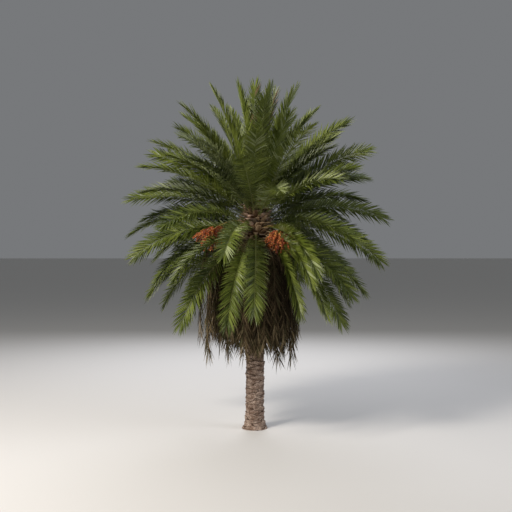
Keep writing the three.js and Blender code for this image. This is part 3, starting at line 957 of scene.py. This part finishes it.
def dress_dead_frond(gathering, path, dice, shades):
    """Dry leaflets: narrow, curled and limp, each bending down by its own weight."""
    step, rank = (grid.ravel() for grid in np.meshgrid(
        np.arange(DEAD_LEAFLETS_A_SIDE), (-1, 1), indexing="ij"))
    count = len(step)
    loose_step = step + dice.uniform(-0.4, 0.4, count)
    place = DEAD_FIRST_LEAFLET + DEAD_LEAFLET_RANGE * loose_step / DEAD_LEAFLETS_A_SIDE
    points, forward, side, face = along_path(path, np.clip(place, 0, 1))
    spread = (dice.uniform(0.15, 0.95, count) * (1.1 - 0.45 * place))[:, None]
    lifted = dice.uniform(-0.35, 0.35, count)[:, None]
    fall = np.array([0.0, 0.0, -0.45])
    along = unit(forward * 0.65 + fall + side * rank[:, None] * spread + face * lifted)
    across = unit(np.cross(along, face + side * dice.uniform(-0.9, 0.9, count)[:, None]))
    lengths = leaflet_reach(place) * dice.uniform(0.70, 1.10, count)
    shade = np.array(shades)[dice.integers(0, len(shades), count)]
    # More leaflets take a lighter shade towards the tip.
    lighter_tip = dice.random(count) < np.clip((place - LIGHTER_TIP_FROM) / LIGHTER_TIP_RANGE, 0, 1)
    shade = np.where(lighter_tip, dice.choice([2, 3, 4], count), shade)
    widths = dice.uniform(*DEAD_LEAFLET_WIDTHS, count)
    lay_leaflets(gathering, points, along, across, lengths, widths, dice.uniform(0.0, 0.25, count), shade,
                 fold=1.6)


# Dead leaflets: papery and dull, from dark brown to tan, straw and olive, with more of the lighter shades
# towards the tips, which hang low and outside on the skirt.
dead_materials = [
    plain_material("dead leaflet dark", "#2b2317", 0.9, 0.2),
    plain_material("dead leaflet brown", "#413625", 0.9, 0.2),
    plain_material("dead leaflet tan", "#5d4f38", 0.85, 0.25),
    plain_material("dead leaflet straw", "#8c7c5e", 0.85, 0.25),
    plain_material("dead leaflet olive", "#4f4c31", 0.85, 0.25),
]
DEAD_SHADE_SETS = [[0, 0, 1], [0, 1, 1, 2], [1, 1, 2, 4], [1, 2, 3, 4]]
dead_rib_materials = [plain_material("dry rib", "#66543e", 0.8, 0.3)]

dry = Gathering()
dry_ribs = Gathering()
for number in range(DEAD_COUNT):
    dice = np.random.default_rng(DEAD_SEED + number)
    bearing = number * GOLDEN_TURN + dice.uniform(-0.08, 0.08)
    depth_share = ((number * REACH_STEP) % DEAD_COUNT) / (DEAD_COUNT - 1)
    reach_share = min(OUTERMOST, depth_share * (SKIRT_REACH - SIDE_REACH * math.cos(bearing)))
    long_wisp = WISP_LENGTH if number % WISP_EVERY == WISP_FIRST else 0
    path = hanging_path(
        bearing,
        DEAD_SEAT_LOW + DEAD_SEAT_RANGE * reach_share + dice.uniform(-0.05, 0.05),
        dice.uniform(-30, 0) + 25 * reach_share,
        0.15 + 0.39 * reach_share,
        DEAD_LENGTH * (0.60 + 0.36 * reach_share + dice.uniform(-0.10, 0.08) + long_wisp),
        dice.uniform(-0.2, 0.2),
    )
    shade_set = DEAD_SHADE_SETS[dice.integers(4)]
    lay_rib(dry_ribs, path, 0.95, DEAD_RIB_HALF, DEAD_RIB_TIP_HALF, DEAD_RIB_DEPTH, [0])
    dress_dead_frond(dry, path, dice, shade_set)
skirt = dry.join("dead_leaflets", dead_materials)
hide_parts(*skirt_nodes)
dry_ribs.join("dead_ribs", dead_rib_materials, smooth=True)

# -----------------------------------------------------------------------------
# The fruit: dates in big bunches under the leaves. A flat olive yellow stalk arches out of the heart
# and breaks into strings, each set with dates all along, ripening from yellow through orange to red.
# -----------------------------------------------------------------------------

BUNCHES = [
    {"bearing": 209, "seat": 5.50, "reach": 1.12, "end": 5.21, "spread": 0.50, "hang": 0.50, "seed": 3},
    {"bearing": 311, "seat": 5.36, "reach": 0.82, "end": 5.15, "spread": 0.45, "hang": 0.60, "seed": 5},
    {"bearing": 75, "seat": 5.60, "reach": 0.75, "end": 5.30, "spread": 0.45, "hang": 0.60, "seed": 8},
    {"bearing": 128, "seat": 5.52, "reach": 0.70, "end": 5.28, "spread": 0.40, "hang": 0.55, "seed": 13},
]
STRINGS_A_BUNCH = 80
DATES_A_STRING = 17
DATE_LENGTH = 0.042
DATE_WIDTH = 0.031
DATE_OFFSET = 0.020
FIRST_DATE = 0.25
BUNCH_ROOT = 0.28
ARCH_LIFT = 0.30
STALK_HALF = 0.020
STRING_HALF = 0.003
STRING_LIFT = 0.16
STRING_SHORTENING = 0.20
# Directions aslant of the stalks, strings and dates, from which their sideways directions are found.
ASLANT = np.array([0.1, 0.2, 1.0])
DATE_ASLANT = np.array([0.31, 0.52, 0.79])

# One date lies along z from -0.5 to 0.5, 1 wide.
bpy.ops.object.select_all(action="DESELECT")
bpy.ops.mesh.primitive_uv_sphere_add(segments=6, ring_count=4, radius=0.5)
date = bpy.context.object
bpy.ops.object.mode_set(mode="EDIT")
pick(date, lambda x, y, z: 0.1 < z < 0.45)
bpy.ops.transform.resize(value=(0.86, 0.86, 1))
date_points, date_faces = take_pattern(date)
# A new sphere lists its faces in a different order each time, so they are put in one fixed order.
date_faces = sorted(face[face.index(min(face)):] + face[:face.index(min(face))] for face in date_faces)


def curved_stalk(gathering, line, half):
    """Bends the rib pattern along a line, as a stalk or a string of the bunch."""
    ahead = unit(np.gradient(line, axis=0))
    side = unit(np.cross(ahead, ASLANT))
    path = np.stack([line, ahead, side, np.cross(ahead, side)], 1)
    lay_rib(gathering, path, 1.0, half, half * 0.5, half * 0.8, [0])


def thin_string(gathering, line, half):
    """A string of the bunch: a thin three-sided thread through the points of a line."""
    ahead = unit(np.gradient(line, axis=0))
    side = unit(np.cross(ahead, ASLANT))
    face = np.cross(ahead, side)
    rings = [line + (side * math.cos(a) + face * math.sin(a)) * half for a in (0.0, 2.09, 4.19)]
    count = len(line)
    places = np.concatenate(rings)
    faces = [(0, count, 2 * count), (3 * count - 1, 2 * count - 1, count - 1)]
    for ring in range(3):
        a, b = ring * count, (ring + 1) % 3 * count
        faces += [(a + i, a + i + 1, b + i + 1, b + i) for i in range(count - 1)]
    gathering.add(faces, places[None], [0])


# Dates: smooth and waxy. Stalks: flat, hard and a dull olive yellow.
date_materials = [
    plain_material("date orange", "#ad5a28", 0.4),
    plain_material("date red", "#8c3a1c", 0.4),
    plain_material("date dark red", "#5c2614", 0.4),
    plain_material("date yellow", "#c48c44", 0.4),
]
RIPENESS_SETS = [[0, 0, 3], [0, 0, 1], [0, 1, 1], [0, 1, 2], [1, 1, 2]]
stalk_materials = [plain_material("fruit stalk", "#8f7a3e", 0.6)]

dates = Gathering()
stalks = Gathering()
for bunch in BUNCHES:
    dice = np.random.default_rng(bunch["seed"])
    heading = math.radians(bunch["bearing"])
    out = np.array([math.cos(heading), math.sin(heading), 0.0])
    root = np.array([TRUNK_LEAN, 0.0, bunch["seat"]]) + out * BUNCH_ROOT
    t = np.linspace(0, 1, 19)[:, None]
    drop = bunch["seat"] - bunch["end"]
    arch_height = ARCH_LIFT * t - (ARCH_LIFT + drop) * t * t
    arch = root + out * bunch["reach"] * t + upward * arch_height
    curved_stalk(stalks, arch, STALK_HALF)
    for string in range(STRINGS_A_BUNCH):
        start = arch[-1] + (arch[-5] - arch[-1]) * dice.random()
        spin = string * GOLDEN_TURN
        flare = math.sqrt((string + 0.5) / STRINGS_A_BUNCH)
        swing = np.array([math.cos(spin), math.sin(spin), 0.0]) * bunch["spread"] * flare
        length = bunch["hang"] - STRING_SHORTENING * flare * flare + dice.uniform(-0.03, 0.03)
        s = np.linspace(0, 1, 7)[:, None]
        line = start + swing * s ** 0.7 + upward * (STRING_LIFT * flare * s - length * s ** 1.6)
        thin_string(stalks, line, STRING_HALF)
        ripeness = RIPENESS_SETS[dice.integers(5)]
        places = FIRST_DATE + (1 - FIRST_DATE) * np.arange(DATES_A_STRING) / (DATES_A_STRING - 1)
        spots = np.stack([np.interp(places, s[:, 0], line[:, i]) for i in range(3)], 1)
        axis = unit(dice.normal(0, 1, (DATES_A_STRING, 3)) + np.array([0, 0, -0.5]))
        level = unit(np.cross(axis, DATE_ASLANT))
        other = np.cross(axis, level)
        size = dice.uniform(0.9, 1.15, DATES_A_STRING)[:, None, None]
        x, y, z = (date_points[None, :, i, None] for i in range(3))
        laid = spots[:, None] + axis[:, None] * DATE_OFFSET + size * (
            (level[:, None] * x + other[:, None] * y) * DATE_WIDTH + axis[:, None] * z * DATE_LENGTH)
        dates.add(date_faces, laid, np.array(ripeness)[dice.integers(0, 3, DATES_A_STRING)])
dates.join("dates", date_materials, smooth=True)
stalks.join("fruit_stalks", stalk_materials, smooth=True)
